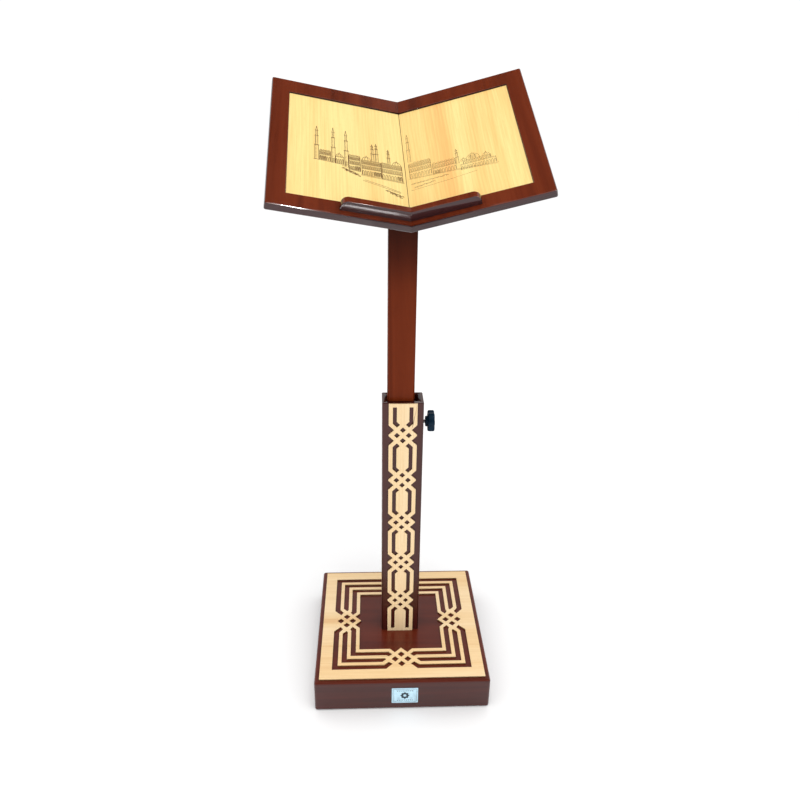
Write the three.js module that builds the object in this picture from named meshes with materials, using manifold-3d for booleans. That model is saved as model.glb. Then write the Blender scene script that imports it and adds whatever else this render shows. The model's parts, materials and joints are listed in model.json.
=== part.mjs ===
// Floor-standing book lectern with a V-shaped desk on a height-adjustable post.
// Millimetres, +Z up. The origin is the middle of the base, on the floor. -Y is the reader's side.

import * as THREE from 'three';
import { mergeVertices } from 'three/addons/utils/BufferGeometryUtils.js';
import Module from 'manifold-3d';

const wasm = await Module();
wasm.setup();

const DEG = Math.PI / 180;
const GAP = 0.3; // clearance between pieces that touch
const PAST = 5; // tools that cut run this far past the face they open
const FINE = 28; // sides of the larger round pieces

// Base box
const BASE = 300; // outer side
const BASE_TOP = 60; // height of its top face
const SKIRT_FOOT = 2; // the skirts stop this far above the floor
const SKIRT = 15; // skirt board thickness
const DECK = 18; // top board thickness
const FLOOR_BOARD = 6; // bottom board thickness
const PAD_H = 4; // felt pad height
const PAD_R = 16;
const PAD_AT = 100; // felt pad centres, from the middle
const CORNER_BLOCK = 26;

// Fretwork: strips laid as lattice knots joined by straight runs
const FRET_T = 3; // thickness of both fretwork sheets
const RING_EDGE = 141.8; // half side of the base sheet
const RING_BORDER = 121; // half side of its border's inner edge
const RINGS = [77.3, 92.7, 108.2]; // half sides of the three square bands, inside to outside
const RING_STRIP = 6.4; // strip width on the base
const RING_KNOT = 98.3; // knot centres, from the middle
const RING_PITCH = 11.1; // from a knot's centre to each of its four holes

const PANEL_W = 46; // column sheet width
const PANEL_STRIP = 6.6;
const PANEL_PITCH = 9.6;
const PANEL_SLOT = 6.35; // slot width
const PANEL_END = 6.1; // solid strip across each end
const KNOTS = 5;
const KNOT_FIRST = 70; // lowest knot above the base
const KNOT_STEP = 83.7;

// Column: a tube of four boards
const COL_W = 67;
const COL_D = 44;
const COL_TOP = 521;
const COL_WALL = 8;
const FOOT_BLOCK_H = 40;

// Post
const POST_W = 43.6;
const POST_D = 27.2;
const POST_X = -3.4; // the clamp holds the post against the left wall
const POST_FOOT = 399; // height of its lower end
const POST_ROUGH_TOP = 900; // longer than needed, then cut to the cradle's slope

const POST_SCREW_HEAD = 868; // height of the two screws' heads, which face up
const POST_SCREW_L = 45;
const POST_SCREW_X = 11; // on each side of the post's middle
const postScrewX = [POST_X - POST_SCREW_X, POST_X + POST_SCREW_X];

// Clamp
const CLAMP_Z = 478.5;
const STUD_R = 3;
const STUD_TIP = 20.9; // inner end
const STUD_END = 49; // end inside the knob
const STUD_CHAMFER = 1;
const HUB_X = 37.5; // knob hub's inner face
const HUB_R = 8.8;
const HUB_SUNK = 2; // how far the hub runs into the head
const HEAD_X = 41.4;
const HEAD_T = 11;
const HEAD_R = 18.2;
const HEAD_BEVEL = 1.2;
const LOBES = 7;
const LOBE_DEPTH = 2.6;
const PRESS_R = 9; // pressure pad
const PRESS_T = 3.5;
const PRESS_SOCKET = 2; // depth of the stud's seat beyond its tip
const INSERT_R = 4.6;

// Desk: two wings that meet in a valley
const DESK_Z = 889; // height of the fold's middle
const DESK_TILT = 29.7; // slope of the fold, degrees
const WING_RISE = 14.6; // each wing's rise from the fold, degrees
const DESK_YAW = 1.2; // the desk sits turned on its post by this much
const DESK_ROLL = -2.5; // and tipped by this much
const WING_W = 188;
const WING_H = 284.4;
const WING_T = 12;
const POCKET = 5; // depth of the pocket for the veneered panel
const PANEL_T = 2.5;
const EDGE_TOP = 31; // frame widths round the pocket
const EDGE_FOOT = 25.8;
const EDGE_SIDE = 25.4;
const LEDGE_W = 94; // book ledge, on each side of the fold
const LEDGE_H = 15.5;
const LEDGE_T = 9.4;
const LEDGE_AT = 8.4; // set back from the desk's front edge
const LEDGE_ROUND = 10;
const LEDGE_SCREW_L = 20;
const ledgeScrewAt = [30, 74]; // from the fold
const CRADLE_W = 64;
const CRADLE_L = 150;
const CRADLE_DROP = 34; // depth of its underside below the fold
const CRADLE_SCREW_X = 22;
const CRADLE_SCREW_Y = 55;
const CRADLE_SCREW_L = 20;
const CRADLE_SCREW_BITE = 5; // how far their points go into the wings

// Label plate
const LABEL_W = 45;
const LABEL_H = 33;
const LABEL_T = 0.8;
const LABEL_X = 4;

const lacquer = new THREE.MeshStandardMaterial({ color: 0x5c2214, roughness: 0.25, metalness: 0 });
const darkLacquer = new THREE.MeshStandardMaterial({ color: 0x46231e, roughness: 0.22, metalness: 0 });
const beech = new THREE.MeshStandardMaterial({ color: 0xf0dba8, roughness: 0.5, metalness: 0 });
const deskVeneer = new THREE.MeshStandardMaterial({ color: 0xf2cf86, roughness: 0.4, metalness: 0 });
const fibreboard = new THREE.MeshStandardMaterial({ color: 0x9a7650, roughness: 0.8, metalness: 0 });
const blackPlastic = new THREE.MeshStandardMaterial({ color: 0x12181c, roughness: 0.4, metalness: 0 });
const steel = new THREE.MeshStandardMaterial({ color: 0xb9bcc0, roughness: 0.3, metalness: 1 });
const brass = new THREE.MeshStandardMaterial({ color: 0xc2a04c, roughness: 0.35, metalness: 1 });
const felt = new THREE.MeshStandardMaterial({ color: 0x2c2a28, roughness: 0.95, metalness: 0 });
const plate = new THREE.MeshStandardMaterial({ color: 0xd9dadb, roughness: 0.3, metalness: 0.6 });

const stand = new THREE.Group();

function add(name, geometry, material, parent = stand) {
  const mesh = new THREE.Mesh(geometry, material);
  mesh.name = name;
  parent.add(mesh);
  return mesh;
}

// A box given by its lowest and highest corners
function box(low, high) {
  const size = high.map((v, i) => v - low[i]);
  const middle = high.map((v, i) => (v + low[i]) / 2);
  return new THREE.BoxGeometry(...size).translate(...middle);
}

function outline(points) {
  return new THREE.Shape(points.map(([x, y]) => new THREE.Vector2(x, y)));
}

// A plate in the XY plane, z from 0 to depth
function prism(points, depth, holes = []) {
  const shape = outline(points);
  shape.holes = holes.map((hole) => outline(hole));
  return new THREE.ExtrudeGeometry(shape, { depth, bevelEnabled: false });
}

// A plate whose outline is drawn in the XZ plane, y from y0 to y1
function prismAlongY(points, y0, y1) {
  return prism(points, y1 - y0).rotateX(Math.PI / 2).translate(0, y1, 0);
}

// A round solid about Z from [radius, z] pairs that start and end on the axis
function turned(profile, segments = 20) {
  return new THREE.LatheGeometry(profile.map(([r, z]) => new THREE.Vector2(r, z)), segments)
    .rotateX(Math.PI / 2);
}

function pin(radius, z0, z1, segments = 20) {
  return turned([[0, z0], [radius, z0], [radius, z1], [0, z1]], segments);
}

// A round solid about X, drawn as turned() draws it about Z
function alongX(geometry) {
  return geometry.rotateY(Math.PI / 2);
}

function toSolid(geometry) {
  const bare = geometry.clone();
  bare.deleteAttribute('normal');
  bare.deleteAttribute('uv');
  const merged = mergeVertices(bare, 1e-4);
  return new wasm.Manifold(new wasm.Mesh({
    numProp: 3,
    vertProperties: new Float32Array(merged.attributes.position.array),
    triVerts: new Uint32Array(merged.index.array),
  }));
}

function toGeometry(solid) {
  const mesh = solid.getMesh();
  const geometry = new THREE.BufferGeometry();
  geometry.setAttribute('position', new THREE.BufferAttribute(new Float32Array(mesh.vertProperties), 3));
  geometry.setIndex(new THREE.BufferAttribute(new Uint32Array(mesh.triVerts), 1));
  return geometry;
}

function cut(geometry, tools) {
  return toGeometry(tools.reduce((solid, tool) => solid.subtract(toSolid(tool)), toSolid(geometry)));
}

function join(...geometries) {
  return toGeometry(geometries.map(toSolid).reduce((sum, solid) => sum.add(solid)));
}

// Countersunk screw: head's flat face at z = 0, shank to z = length
const SCREW_HEAD_R = 4;
const SCREW_HEAD_H = 2.6;
const SCREW_R = 2;
const SCREW_POINT = 3;

function screw(length) {
  return turned([
    [0, 0],
    [SCREW_HEAD_R, 0],
    [SCREW_R, SCREW_HEAD_H],
    [SCREW_R, length - SCREW_POINT],
    [0, length],
  ], 16);
}

// The hole for it, a little larger all round, which opens below z = 0
function screwHole(length) {
  return turned([
    [0, -PAST],
    [SCREW_HEAD_R + GAP, -PAST],
    [SCREW_HEAD_R + GAP, 0],
    [SCREW_R + GAP, SCREW_HEAD_H + GAP],
    [SCREW_R + GAP, length + GAP],
    [0, length + GAP],
  ], 16);
}

const corners = [[-1, -1], [1, -1], [1, 1], [-1, 1]];
const cornerNames = ['front_left', 'front_right', 'rear_right', 'rear_left'];

// ---- Fretwork outlines ----

const flip = (points) => points.map(([x, y]) => [-x, y]).reverse();
const diamond = (x, y, r) => [[x - r, y], [x, y - r], [x + r, y], [x, y + r]];

// The four holes of a knot
function knotHoles(cx, cy, pitch, strip) {
  const r = pitch - strip / Math.SQRT2;
  const spots = [[0, pitch], [-pitch, 0], [pitch, 0], [0, -pitch]];
  return spots.map(([x, y]) => diamond(cx + x, cy + y, r));
}

// The base sheet is drawn one side at a time, with y towards the middle of the base and the knot at
// (0, 0). A corner opening starts at one knot, turns the corner and ends at the next.
function baseSheet() {
  const e = RING_STRIP / Math.SQRT2; // half a 45 degree strip, measured along x or y
  const p = RING_PITCH;
  const half = RING_STRIP / 2;
  const [inner, middle, outer] = RINGS.map((r) => RING_KNOT - r); // band heights beside the knot
  const border = RING_KNOT - RING_BORDER;

  // Ends of the three openings on the left of a knot, from the outer edge to the inner edge
  const ends = [
    [
      [border - e, border],
      [-p - e, -p],
      [-2 * p, e - p],
      [outer - half - 2 * p + e, outer - half],
    ],
    [
      [outer + half - 2 * p - e, outer + half],
      [-2 * p - e, 0],
      [half - middle - 2 * p - e, middle - half],
    ],
    [
      [e - 2 * p - middle - half, middle + half],
      [-2 * p, p - e],
      [-p - e, p],
      [half - inner - e, inner - half],
    ],
  ];
  const openings = [];
  const place = ([x, y]) => [x, y - RING_KNOT];
  const mirror = ([x, y]) => [y, x]; // across the base's diagonal, from the front side to the left side
  for (const end of ends) {
    const here = end.map(place);
    const there = here.map(mirror).reverse();
    const outerCorner = [here[0][1], here[0][1]];
    const innerCorner = [here.at(-1)[1], here.at(-1)[1]];
    openings.push([...here, innerCorner, ...there, outerCorner]);
  }

  // Middle opening: each side dips where the innermost band runs into its knot
  const rim = inner + half;
  const side = [
    [e - rim, rim],
    [-p, p + e],
    [0, 2 * p + e],
    [p, p + e],
    [rim - e, rim],
  ].map(place);
  const turn = (points, quarter) => points.map(([x, y]) => {
    const c = [1, 0, -1, 0][quarter];
    const s = [0, 1, 0, -1][quarter];
    return [c * x - s * y, s * x + c * y];
  });
  const centre = [];
  const holes = [];
  for (let quarter = 0; quarter < 4; quarter += 1) {
    const last = [RING_KNOT - rim, rim - RING_KNOT];
    centre.push(...turn([...side, last], quarter));
    holes.push(...openings.map((points) => turn(points, quarter)));
    holes.push(...knotHoles(0, -RING_KNOT, p, RING_STRIP).map((points) => turn(points, quarter)));
  }
  const edge = corners.map(([x, y]) => [x * RING_EDGE, y * RING_EDGE]);
  return prism(edge, FRET_T, [centre, ...holes]);
}

// The column sheet stands in the XY plane with y up from the base's top
function columnSheet() {
  const height = COL_TOP - BASE_TOP;
  const half = PANEL_W / 2;
  const e = PANEL_STRIP / Math.SQRT2;
  const p = PANEL_PITCH;
  const slotOut = half - PANEL_STRIP;
  const slotIn = slotOut - PANEL_SLOT;
  const knots = Array.from({ length: KNOTS }, (_, i) => KNOT_FIRST + i * KNOT_STEP);

  // Left edge, from the bottom up: a pair of notches leaves a blunt tip at each knot
  const left = [[-half, 0]];
  for (const y of knots) {
    const tip = half - 2 * p - e;
    left.push(
      [-half, y - half + e],
      [-p - e, y - p],
      [-half, y + tip],
      [-half, y - tip],
      [-p - e, y + p],
      [-half, y + half - e],
    );
  }
  left.push([-half, height]);
  const edge = [...left, ...flip(left)];

  // Upper end of a knot's left slot, mirrored for the lower end
  const slotEnd = [
    [-slotOut, slotOut + e],
    [-p, p + e],
    [-e, 2 * p],
    [-slotIn, 2 * p + slotIn - e],
  ];
  const holes = [];
  const stops = [null, ...knots, null];
  for (let i = 0; i + 1 < stops.length; i += 1) {
    const [low, high] = [stops[i], stops[i + 1]];
    const foot = low === null
      ? [[-slotOut, PANEL_END], [-slotIn, PANEL_END]]
      : slotEnd.map(([x, y]) => [x, low + y]);
    const head = high === null
      ? [[-slotIn, height - PANEL_END], [-slotOut, height - PANEL_END]]
      : slotEnd.map(([x, y]) => [x, high - y]).reverse();
    const slot = [...foot, ...head];
    holes.push(slot, flip(slot));
  }
  knots.forEach((y) => holes.push(...knotHoles(0, y, p, PANEL_STRIP)));
  return prism(edge, FRET_T, holes);
}

// ---- Base ----

const half = BASE / 2;
const well = half - SKIRT; // half side of the space inside the skirts
const deckUnder = BASE_TOP - DECK;

const skirtSlip = GAP / 2 * Math.SQRT2; // clearance at the mitres, measured along the board
const skirtOutline = [
  [skirtSlip - half, -half],
  [half - skirtSlip, -half],
  [well - skirtSlip, -well],
  [skirtSlip - well, -well],
];
['front', 'right', 'rear', 'left'].forEach((side, i) => {
  const board = add(`base_skirt_${side}`, prism(skirtOutline, BASE_TOP - SKIRT_FOOT), darkLacquer);
  board.position.z = SKIRT_FOOT;
  board.rotation.z = i * Math.PI / 2;
});

const COLUMN_SCREW_X = 13;
const COLUMN_SCREW_L = 45;
const columnScrewHole = (x) => screwHole(COLUMN_SCREW_L).translate(x, 0, deckUnder);
const fit = well - GAP;
add('base_top_board', cut(
  box([-fit, -fit, deckUnder], [fit, fit, BASE_TOP]),
  [-COLUMN_SCREW_X, COLUMN_SCREW_X].map(columnScrewHole),
), darkLacquer);

const FLOOR_SCREW_L = 20;
const blockAt = fit - CORNER_BLOCK / 2;
const floorHoles = corners.map(([x, y]) => screwHole(FLOOR_SCREW_L)
  .translate(x * blockAt, y * blockAt, PAD_H));
add('base_bottom_board', cut(
  box([-fit, -fit, PAD_H], [fit, fit, PAD_H + FLOOR_BOARD]),
  floorHoles,
), fibreboard);
corners.forEach(([x, y], i) => {
  const r = CORNER_BLOCK / 2;
  const block = box([-r, -r, PAD_H + FLOOR_BOARD], [r, r, deckUnder])
    .translate(x * blockAt, y * blockAt, 0);
  add(`corner_block_${cornerNames[i]}`, cut(block, [floorHoles[i]]), beech);
  add(`floor_screw_${cornerNames[i]}`, screw(FLOOR_SCREW_L), steel)
    .position.set(x * blockAt, y * blockAt, PAD_H);
  add(`felt_pad_${cornerNames[i]}`, pin(PAD_R, 0, PAD_H, 24), felt)
    .position.set(x * PAD_AT, y * PAD_AT, 0);
});

add('base_fretwork', baseSheet(), beech).position.z = BASE_TOP;

add('label_plate', box(
  [LABEL_X - LABEL_W / 2, -half - LABEL_T, (BASE_TOP + SKIRT_FOOT - LABEL_H) / 2],
  [LABEL_X + LABEL_W / 2, -half, (BASE_TOP + SKIRT_FOOT + LABEL_H) / 2],
), plate);

// ---- Column ----

const colX = COL_W / 2;
const colY = COL_D / 2;
const boreX = colX - COL_WALL;
const boreY = colY - COL_WALL;
add('column_front_board', box([-colX, -colY, BASE_TOP], [colX, -boreY, COL_TOP]), darkLacquer);
add('column_rear_board', box([-colX, boreY, BASE_TOP], [colX, colY, COL_TOP]), darkLacquer);
add('column_left_board', box([-colX, -boreY, BASE_TOP], [-boreX, boreY, COL_TOP]), darkLacquer);
add('column_right_board', cut(
  box([boreX, -boreY, BASE_TOP], [colX, boreY, COL_TOP]),
  [alongX(pin(INSERT_R + GAP, boreX - PAST, colX + PAST)).translate(0, 0, CLAMP_Z)],
), darkLacquer);

const columnFretwork = add('column_fretwork', columnSheet(), beech);
columnFretwork.rotation.x = Math.PI / 2;
columnFretwork.position.set(0, -colY, BASE_TOP);

add('column_foot_block', cut(
  box([-boreX + GAP, -boreY + GAP, BASE_TOP], [boreX - GAP, boreY - GAP, BASE_TOP + FOOT_BLOCK_H]),
  [-COLUMN_SCREW_X, COLUMN_SCREW_X].map(columnScrewHole),
), beech);
['left', 'right'].forEach((side, i) => {
  add(`column_screw_${side}`, screw(COLUMN_SCREW_L), steel)
    .position.set([-COLUMN_SCREW_X, COLUMN_SCREW_X][i], 0, deckUnder);
});

// ---- Clamp, about the X axis through the column's right wall ----

const clamp = new THREE.Group();
clamp.position.z = CLAMP_Z;
stand.add(clamp);

add('threaded_insert', alongX(cut(
  pin(INSERT_R, boreX + GAP, colX - GAP),
  [pin(STUD_R + GAP, boreX - PAST, colX + PAST)],
)), brass, clamp);

const pressX = POST_X + POST_W / 2 + GAP;
add('pressure_pad', alongX(cut(
  pin(PRESS_R, pressX, pressX + PRESS_T, FINE),
  [pin(STUD_R + GAP, STUD_TIP - GAP, STUD_TIP + PRESS_SOCKET)],
)), blackPlastic, clamp);

add('clamp_stud', alongX(turned([
  [0, STUD_TIP],
  [STUD_R - STUD_CHAMFER, STUD_TIP],
  [STUD_R, STUD_TIP + STUD_CHAMFER],
  [STUD_R, STUD_END],
  [0, STUD_END],
])), steel, clamp);

// Star outline: LOBES round lobes with hollows between them
function starOutline(steps = LOBES * 8) {
  return Array.from({ length: steps }, (_, i) => {
    const angle = i / steps * 2 * Math.PI;
    const r = HEAD_R - LOBE_DEPTH * (1 - Math.cos(LOBES * angle)) / 2;
    return [r * Math.cos(angle), r * Math.sin(angle)];
  });
}

const head = new THREE.ExtrudeGeometry(outline(starOutline()), {
  depth: HEAD_T - 2 * HEAD_BEVEL,
  bevelThickness: HEAD_BEVEL,
  bevelSize: HEAD_BEVEL,
  bevelOffset: -HEAD_BEVEL,
  bevelSegments: 2,
}).translate(0, 0, HEAD_X + HEAD_BEVEL);
const hub = pin(HUB_R, HUB_X, HEAD_X + HUB_SUNK, FINE);
add('knob_head', alongX(cut(
  join(head, hub),
  [pin(STUD_R + GAP, HUB_X - PAST, STUD_END + GAP)],
)), blackPlastic, clamp);

// ---- Desk: x across, y up the slope, z out of the reading side, origin at the fold's middle ----

const desk = new THREE.Group();
desk.position.set(POST_X, 0, DESK_Z);
desk.rotation.set(DESK_TILT * DEG, DESK_ROLL * DEG, DESK_YAW * DEG, 'ZYX');
stand.add(desk);

const deskFoot = -WING_H / 2;
const deskHead = WING_H / 2;
const rise = WING_RISE * DEG;
const SIDES = [['left', -1], ['right', 1]];
const BEND_STEPS = 8;
const ledgeMiddle = deskFoot + LEDGE_AT + LEDGE_T / 2;

// The cradle's screws stand square to the wings, heads sunk in its underside
const cradleSpots = [-CRADLE_SCREW_Y, CRADLE_SCREW_Y];
const cradleScrewHead = CRADLE_SCREW_BITE - WING_T - CRADLE_SCREW_L;

for (const [name, side] of SIDES) {
  const wing = new THREE.Group(); // x out along the wing, z square to it
  wing.rotation.y = -side * rise;
  desk.add(wing);

  const slip = GAP / 2; // clearance at the fold
  const mitre = (depth) => side * (slip / Math.cos(rise) - depth * Math.tan(rise));
  const board = prismAlongY(
    [[mitre(0), 0], [side * WING_W, 0], [side * WING_W, -WING_T], [mitre(WING_T), -WING_T]],
    deskFoot,
    deskHead,
  );
  const pocketX = [-side * PAST, side * (WING_W - EDGE_SIDE)];
  const pocketY = [deskFoot + EDGE_FOOT, deskHead - EDGE_TOP];
  const pocket = box(
    [Math.min(...pocketX), pocketY[0], -POCKET],
    [Math.max(...pocketX), pocketY[1], PAST],
  );
  const ledgeHoles = ledgeScrewAt.map((x) => screwHole(LEDGE_SCREW_L)
    .translate(side * x, ledgeMiddle, -WING_T));
  const cradleHoles = cradleSpots.map((y) => screwHole(CRADLE_SCREW_L)
    .translate(side * CRADLE_SCREW_X, y, cradleScrewHead));
  add(`${name}_wing_board`, cut(board, [pocket, ...ledgeHoles, ...cradleHoles]), lacquer, wing);

  const under = -POCKET + GAP;
  const face = under + PANEL_T;
  const panelEnd = side * (WING_W - EDGE_SIDE - GAP);
  add(`${name}_wing_panel`, prismAlongY(
    [[mitre(-face), face], [panelEnd, face], [panelEnd, under], [mitre(-under), under]],
    pocketY[0] + GAP,
    pocketY[1] - GAP,
  ), deskVeneer, wing);

  // Book ledge, with its free upper corner rounded
  const bend = Array.from({ length: BEND_STEPS + 1 }, (_, i) => {
    const angle = i / BEND_STEPS * Math.PI / 2;
    return [
      side * (LEDGE_W - LEDGE_ROUND + LEDGE_ROUND * Math.cos(angle)),
      LEDGE_H - LEDGE_ROUND + LEDGE_ROUND * Math.sin(angle),
    ];
  });
  const ledgeBar = prismAlongY(
    [[mitre(-GAP), GAP], [side * LEDGE_W, GAP], ...bend, [mitre(-LEDGE_H), LEDGE_H]],
    deskFoot + LEDGE_AT,
    deskFoot + LEDGE_AT + LEDGE_T,
  );
  add(`${name}_ledge`, cut(ledgeBar, ledgeHoles), lacquer, wing);

  ledgeScrewAt.forEach((x, i) => {
    add(`${name}_ledge_screw_${i + 1}`, screw(LEDGE_SCREW_L), steel, wing)
      .position.set(side * x, ledgeMiddle, -WING_T);
  });
  cradleSpots.forEach((y, i) => {
    add(`${name}_cradle_screw_${i + 1}`, screw(CRADLE_SCREW_L), steel, wing)
      .position.set(side * CRADLE_SCREW_X, y, cradleScrewHead);
  });
}

// Cradle: a block under the fold with a V on top, screwed down to the sloping end of the post
const valley = -(WING_T + GAP) / Math.cos(rise);
const cradleRim = valley + CRADLE_W / 2 * Math.tan(rise);
const cradleSection = [
  [0, valley],
  [CRADLE_W / 2, cradleRim],
  [CRADLE_W / 2, -CRADLE_DROP],
  [-CRADLE_W / 2, -CRADLE_DROP],
  [-CRADLE_W / 2, cradleRim],
];
const cradleBar = prismAlongY(cradleSection, -CRADLE_L / 2, CRADLE_L / 2);
const wingHoles = SIDES.flatMap(([, side]) => cradleSpots.map((y) => screwHole(CRADLE_SCREW_L)
  .translate(side * CRADLE_SCREW_X, y, cradleScrewHead)
  .rotateY(-side * rise)));
const postHoles = postScrewX.map((x) => screwHole(POST_SCREW_L)
  .rotateX(Math.PI)
  .translate(x, 0, POST_SCREW_HEAD));
const headRoom = postScrewX.map((x) => pin(SCREW_HEAD_R + GAP, POST_SCREW_HEAD, DESK_Z, 16)
  .translate(x, 0, 0));
desk.updateMatrixWorld(true);
const intoStand = (geometry) => geometry.clone().applyMatrix4(desk.matrixWorld);
const intoDesk = (geometry) => geometry.clone().applyMatrix4(desk.matrixWorld.clone().invert());
add('desk_cradle', cut(
  cradleBar,
  [...wingHoles, ...postHoles.map(intoDesk), ...headRoom.map(intoDesk)],
), lacquer, desk);
postScrewX.forEach((x, i) => {
  add(`post_screw_${['left', 'right'][i]}`, screw(POST_SCREW_L).rotateX(Math.PI), steel)
    .position.set(x, 0, POST_SCREW_HEAD);
});

// ---- Post, its upper end cut to the cradle's slope ----

const above = box([-WING_W, -WING_W, -CRADLE_DROP - GAP], [WING_W, WING_W, WING_W]);
add('post', cut(
  box(
    [POST_X - POST_W / 2, -POST_D / 2, POST_FOOT],
    [POST_X + POST_W / 2, POST_D / 2, POST_ROUGH_TOP],
  ),
  [intoStand(above), ...postHoles],
), lacquer);

export default stand;
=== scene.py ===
import json
import math

import bmesh
import bpy
import numpy as np
from mathutils import Euler, Matrix, Vector
from mathutils.geometry import delaunay_2d_cdt

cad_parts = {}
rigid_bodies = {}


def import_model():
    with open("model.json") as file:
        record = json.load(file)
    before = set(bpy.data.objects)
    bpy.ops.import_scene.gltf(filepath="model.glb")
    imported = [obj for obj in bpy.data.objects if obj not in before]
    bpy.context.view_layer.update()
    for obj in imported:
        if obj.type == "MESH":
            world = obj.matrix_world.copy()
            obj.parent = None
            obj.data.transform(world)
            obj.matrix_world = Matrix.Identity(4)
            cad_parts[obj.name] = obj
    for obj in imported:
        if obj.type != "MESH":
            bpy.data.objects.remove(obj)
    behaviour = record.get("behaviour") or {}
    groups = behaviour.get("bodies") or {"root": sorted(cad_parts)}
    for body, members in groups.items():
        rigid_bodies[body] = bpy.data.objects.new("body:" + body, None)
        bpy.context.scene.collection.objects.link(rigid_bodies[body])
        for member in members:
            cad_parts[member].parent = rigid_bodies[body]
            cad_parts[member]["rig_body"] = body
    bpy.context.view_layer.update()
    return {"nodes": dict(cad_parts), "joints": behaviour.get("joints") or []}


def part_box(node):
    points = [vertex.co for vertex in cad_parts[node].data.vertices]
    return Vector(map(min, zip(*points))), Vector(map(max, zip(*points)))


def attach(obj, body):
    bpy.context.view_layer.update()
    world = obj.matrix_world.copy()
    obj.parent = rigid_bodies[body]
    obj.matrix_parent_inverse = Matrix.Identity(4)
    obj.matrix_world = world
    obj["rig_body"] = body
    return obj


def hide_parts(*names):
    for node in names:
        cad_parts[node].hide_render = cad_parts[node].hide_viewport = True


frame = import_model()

# Looks of a floor-standing book stand: lacquered boards, beech fretwork, a V-shaped desk with
# engraved veneer panels, and a clamp knob. Metres, +Z up, the reader's side is -Y.

MM = 0.001

BASE = "base_and_column"
DESK = "post_and_desk"
PAD = "clamp_pad"
KNOB = "clamp_knob"

# Desk placement, as it stands on its post
DESK_Z = 0.889
DESK_TILT = math.radians(29.7)
DESK_YAW = math.radians(1.2)
DESK_ROLL = math.radians(-2.5)
WING_RISE = math.radians(14.6)
WING_W = 188 * MM
WING_H = 284.4 * MM
WING_T = 12 * MM
FOLD_SLIP = 0.02 * MM  # from the fold to each wing
POCKET = 5 * MM
PANEL_SINK = 2.2 * MM
PANEL_T = 2.5 * MM
FRAME_TOP = 31 * MM
FRAME_FOOT = 25.8 * MM
FRAME_SIDE = 25.4 * MM
PANEL_GAP = 0.3 * MM  # round the panel
PANEL_SHRINK = 0.4 * MM  # added to that gap at its outer side and its head
FOLD_JOINT = 0.38 * MM  # from a mitre to its panel, a fine dark line at the fold

POST_LOW, POST_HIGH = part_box("post")
POST_X = (POST_LOW.x + POST_HIGH.x) / 2


# ---------------------------------------------------------------- meshes

def link(name, bm):
    mesh = bpy.data.meshes.new(name)
    bm.to_mesh(mesh)
    bm.free()
    obj = bpy.data.objects.new(name, mesh)
    bpy.context.scene.collection.objects.link(obj)
    return obj


def piece(name, bm, materials, body, replaces=(), even=True):
    """A finished piece: smooth shading that keeps the flat faces flat, its materials and body; the CAD parts
    it replaces are hidden.
    """
    bmesh.ops.recalc_face_normals(bm, faces=bm.faces)
    obj = link(name, bm)
    for material in materials:
        obj.data.materials.append(material)
    obj.data.shade_smooth()
    if even:
        obj.modifiers.new("normals", "WEIGHTED_NORMAL").keep_sharp = True
    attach(obj, body)
    if replaces:
        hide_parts(*replaces)
    return obj


def solid_of(node):
    """A CAD node's solid with its flat faces whole."""
    bm = bmesh.new()
    bm.from_mesh(frame["nodes"][node].data)
    bmesh.ops.remove_doubles(bm, verts=bm.verts, dist=0.002 * MM)
    bmesh.ops.dissolve_limit(bm, angle_limit=math.radians(0.5), verts=bm.verts, edges=bm.edges)
    return bm


def round_edges(bm, radius, segments=3, wanted=None, angle=30):
    """Rounds the edges sharper than angle, or those of them that wanted(edge) accepts."""
    edges = [
        e for e in bm.edges
        if len(e.link_faces) == 2 and e.calc_face_angle(0) > math.radians(angle)
        and (wanted is None or wanted(e))
    ]
    bmesh.ops.bevel(
        bm, geom=edges, offset=radius, offset_type="OFFSET", segments=segments, profile=0.5,
        affect="EDGES", clamp_overlap=False,
    )


def box_solid(low, high):
    bm = bmesh.new()
    bmesh.ops.create_cube(bm, size=1)
    size = Vector(high) - Vector(low)
    middle = (Vector(high) + Vector(low)) / 2
    bm.transform(Matrix.Translation(middle) @ Matrix.Diagonal((*size, 1)))
    return bm


def verts_of(geometry):
    return [item for item in geometry if isinstance(item, bmesh.types.BMVert)]


def prism(points, z0, z1):
    """A plate with an outline in XY."""
    bm = bmesh.new()
    face = bm.faces.new([bm.verts.new((x, y, z0)) for x, y in points])
    bm.normal_update()
    if face.normal.z > 0:
        face.normal_flip()
    made = bmesh.ops.extrude_face_region(bm, geom=[face])["geom"]
    bmesh.ops.translate(bm, vec=(0, 0, z1 - z0), verts=verts_of(made))
    bmesh.ops.recalc_face_normals(bm, faces=bm.faces)
    return bm


def turned(profile, segments=48):
    """A round solid about Z from (radius, z) pairs; a pair with radius 0 is a pole."""
    bm = bmesh.new()
    rings = []
    for radius, z in profile:
        if radius == 0:
            rings.append([bm.verts.new((0, 0, z))])
            continue
        turns = [2 * math.pi * i / segments for i in range(segments)]
        rings.append([bm.verts.new((radius * math.cos(t), radius * math.sin(t), z)) for t in turns])
    for a, b in zip(rings, rings[1:]):
        bridge(bm, a, b)
    return bm


def bridge(bm, a, b):
    """Faces between two closed rings, either of which may be a single point."""
    count = max(len(a), len(b))
    for i in range(count):
        j = (i + 1) % count
        corners = [a[i % len(a)], a[j % len(a)], b[j % len(b)], b[i % len(b)]]
        bm.faces.new(list(dict.fromkeys(corners)))


def subtract(bm, tools):
    """Cuts the tools out of the solid."""
    body = link("body", bm)
    cutters = [link("tool", tool) for tool in tools]
    for cutter in cutters:
        cut = body.modifiers.new("cut", "BOOLEAN")
        cut.operation = "DIFFERENCE"
        cut.solver = "EXACT"
        cut.object = cutter
    result = bmesh.new()
    shaped = body.evaluated_get(bpy.context.evaluated_depsgraph_get())
    result.from_mesh(shaped.to_mesh())
    shaped.to_mesh_clear()
    for o in [body, *cutters]:
        bpy.data.objects.remove(o)
    return result


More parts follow.
